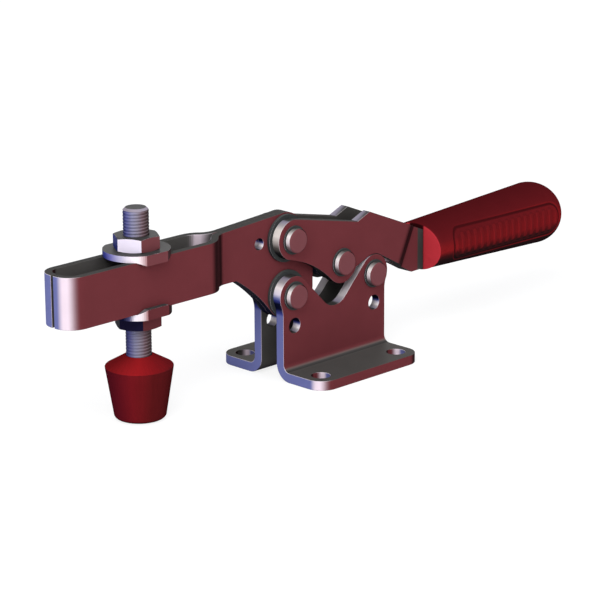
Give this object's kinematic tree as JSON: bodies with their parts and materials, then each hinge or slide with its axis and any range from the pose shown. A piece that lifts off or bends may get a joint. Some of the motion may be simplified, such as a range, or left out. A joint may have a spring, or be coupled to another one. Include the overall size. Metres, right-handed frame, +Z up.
{
  "type": "toggle clamp",
  "caption": "Horizontal hold-down toggle clamp: flanged stamped base, U-bar arm carrying a rubber-tipped threaded spindle, and a moulded grip on a folding toggle handle.",
  "frame": {"origin": "middle of the four base holes on the underside of the feet", "axes": "+Z up through the base, bar and spindle towards -X, handle towards +X, near side -Y; shown closed"},
  "size_m": [0.2276, 0.0478, 0.067],
  "materials": {
    "plated_sheet": "zinc-plated stamped sheet, smooth, with a tinted passivation",
    "rivet_steel": "zinc-plated, turned and formed",
    "dark_ring": "darkened steel",
    "bright_zinc": "bright zinc plating",
    "red_grip": "moulded vinyl, satin",
    "red_rubber": "smooth moulded rubber"
  },
  "bodies": {
    "base": {"base_plate_far": "plated_sheet", "base_plate_near": "plated_sheet", "arm_pivot_rivet": "rivet_steel", "link_pivot_rivet": "rivet_steel", "base_rivet_washers": "dark_ring", "arm_spacer_far": "dark_ring", "arm_spacer_near": "dark_ring", "link_spacer_far": "dark_ring", "link_spacer_near": "dark_ring"},
    "arm": {"arm_plate_far": "plated_sheet", "arm_plate_near": "plated_sheet", "arm_pivot_bushing": "rivet_steel", "handle_pivot_bushing": "rivet_steel"},
    "handle": {"handle_plate_far": "plated_sheet", "handle_plate_near": "plated_sheet", "handle_grip": "red_grip", "handle_pivot_rivet": "rivet_steel", "toggle_rivet_far": "rivet_steel", "toggle_rivet_near": "rivet_steel", "handle_rivet_washers": "dark_ring", "handle_spacer_far": "dark_ring", "handle_spacer_near": "dark_ring", "toggle_spacer_far": "dark_ring", "toggle_spacer_near": "dark_ring"},
    "link": {"link_plate_far": "plated_sheet", "link_plate_near": "plated_sheet", "link_pivot_bushing": "rivet_steel", "toggle_pin": "rivet_steel"},
    "carriage": {"upper_flanged_washer": "bright_zinc", "lower_flanged_washer": "bright_zinc", "upper_nut": "bright_zinc", "lower_nut": "bright_zinc"},
    "spindle": {"spindle": "bright_zinc", "spindle_tip": "red_rubber"}
  },
  "joints": [
    {"name": "arm_swing", "type": "hinge", "parent": "base", "child": "arm", "pos_m": [-0.0184, 0, 0.0277], "axis": [0, 1, 0], "range_deg": [0, 85]},
    {"name": "handle_fold", "type": "hinge", "parent": "arm", "child": "handle", "pos_m": [-0.0184, 0, 0.0461], "axis": [0, 1, 0], "range_deg": [-153, 0]},
    {"name": "link_swing", "type": "hinge", "parent": "base", "child": "link", "pos_m": [0.0184, 0, 0.0277], "axis": [0, 1, 0], "range_deg": [0, 65.1]},
    {"name": "spindle_slot_slide", "type": "slide", "parent": "arm", "child": "carriage", "axis": [1, 0, 0], "range_m": [-0.027, 0.012]},
    {"name": "spindle_height", "type": "slide", "parent": "carriage", "child": "spindle", "axis": [0, 0, 1], "range_m": [-0.008, 0.008]}
  ],
  "couplings": [
    {"joint": "handle_fold", "follows": "arm_swing", "ratio": -1.8},
    {"joint": "link_swing", "follows": "arm_swing", "ratio": 0.765}
  ]
}
